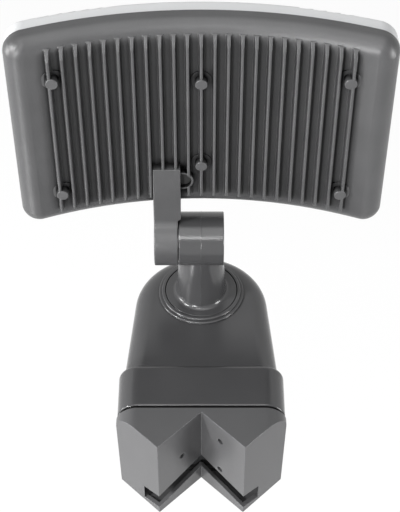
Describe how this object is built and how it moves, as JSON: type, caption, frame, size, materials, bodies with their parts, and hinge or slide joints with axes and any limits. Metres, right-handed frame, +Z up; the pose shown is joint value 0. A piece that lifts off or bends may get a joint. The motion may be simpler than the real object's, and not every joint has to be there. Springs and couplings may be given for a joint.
{
  "type": "corner-mounted floodlight",
  "caption": "Outdoor floodlight with a ribbed curved head that tilts and swivels on a knuckle above a driver housing, held to a building corner by a notched bracket.",
  "frame": {"origin": "inner edge of the bracket's notch, where the building's corner sits, level with the bracket's underside", "axes": "+Z up along the building's corner, +Y out of the light's back into the wall, +X to the arm's side of the knuckle, which is the picture's left"},
  "size_m": [0.228, 0.172, 0.295],
  "materials": {
    "black_plastic": "moulded black plastic, fine satin grain",
    "black_aluminium": "die-cast aluminium with a fine black powder coat",
    "black_rubber": "matt black rubber",
    "screw_steel": "plain stainless steel",
    "machined_aluminium": "turned aluminium",
    "lens_plastic": "frosted translucent plastic",
    "board_white": "aluminium board with a white solder mask",
    "chip_yellow": "yellow phosphor",
    "white_plastic": "moulded white plastic",
    "lead_sleeve": "black cable sleeve",
    "brass_screw": "plain brass",
    "breather_membrane": "dark vent membrane"
  },
  "bodies": {
    "base": {"corner_bracket": "black_plastic", "base_gasket": "black_rubber", "collar": "black_plastic", "collar_fixing_screws": "screw_steel", "collar_lock_screws": "screw_steel", "cable_grommet": "black_rubber", "housing": "black_plastic", "housing_lid": "black_plastic", "lid_gasket": "black_rubber", "lid_screws": "screw_steel", "led_driver": "machined_aluminium", "driver_screws": "screw_steel", "terminal_block": "white_plastic", "terminal_screws": "brass_screw", "supply_lead": "lead_sleeve", "driver_lead": "lead_sleeve"},
    "knuckle": {"knuckle": "black_plastic", "knuckle_end_cap": "black_plastic", "swivel_oring": "black_rubber", "wave_washer": "screw_steel", "ring_nut": "machined_aluminium", "friction_disc": "white_plastic", "knuckle_lead": "lead_sleeve"},
    "head": {"tilt_axle": "screw_steel", "tilt_nut": "screw_steel", "spring_washer": "screw_steel", "rear_casting": "black_aluminium", "arm_cover": "black_plastic", "breather_disc": "breather_membrane", "led_board_left": "board_white", "led_board_centre": "board_white", "led_board_right": "board_white", "led_chips_left": "chip_yellow", "led_chips_centre": "chip_yellow", "led_chips_right": "chip_yellow", "board_screws": "screw_steel", "board_connector": "white_plastic", "head_lead": "lead_sleeve", "diffuser_lens": "lens_plastic", "lens_gasket": "black_rubber"}
  },
  "joints": [
    {"name": "swivel", "type": "hinge", "parent": "base", "child": "knuckle", "pos_m": [0, -0.1056, 0.07], "axis": [0, 0, 1], "range_deg": [-70, 70]},
    {"name": "tilt", "type": "hinge", "parent": "knuckle", "child": "head", "pos_m": [0, -0.1056, 0.1221], "axis": [1, 0, 0], "range_deg": [-20, 90]}
  ]
}
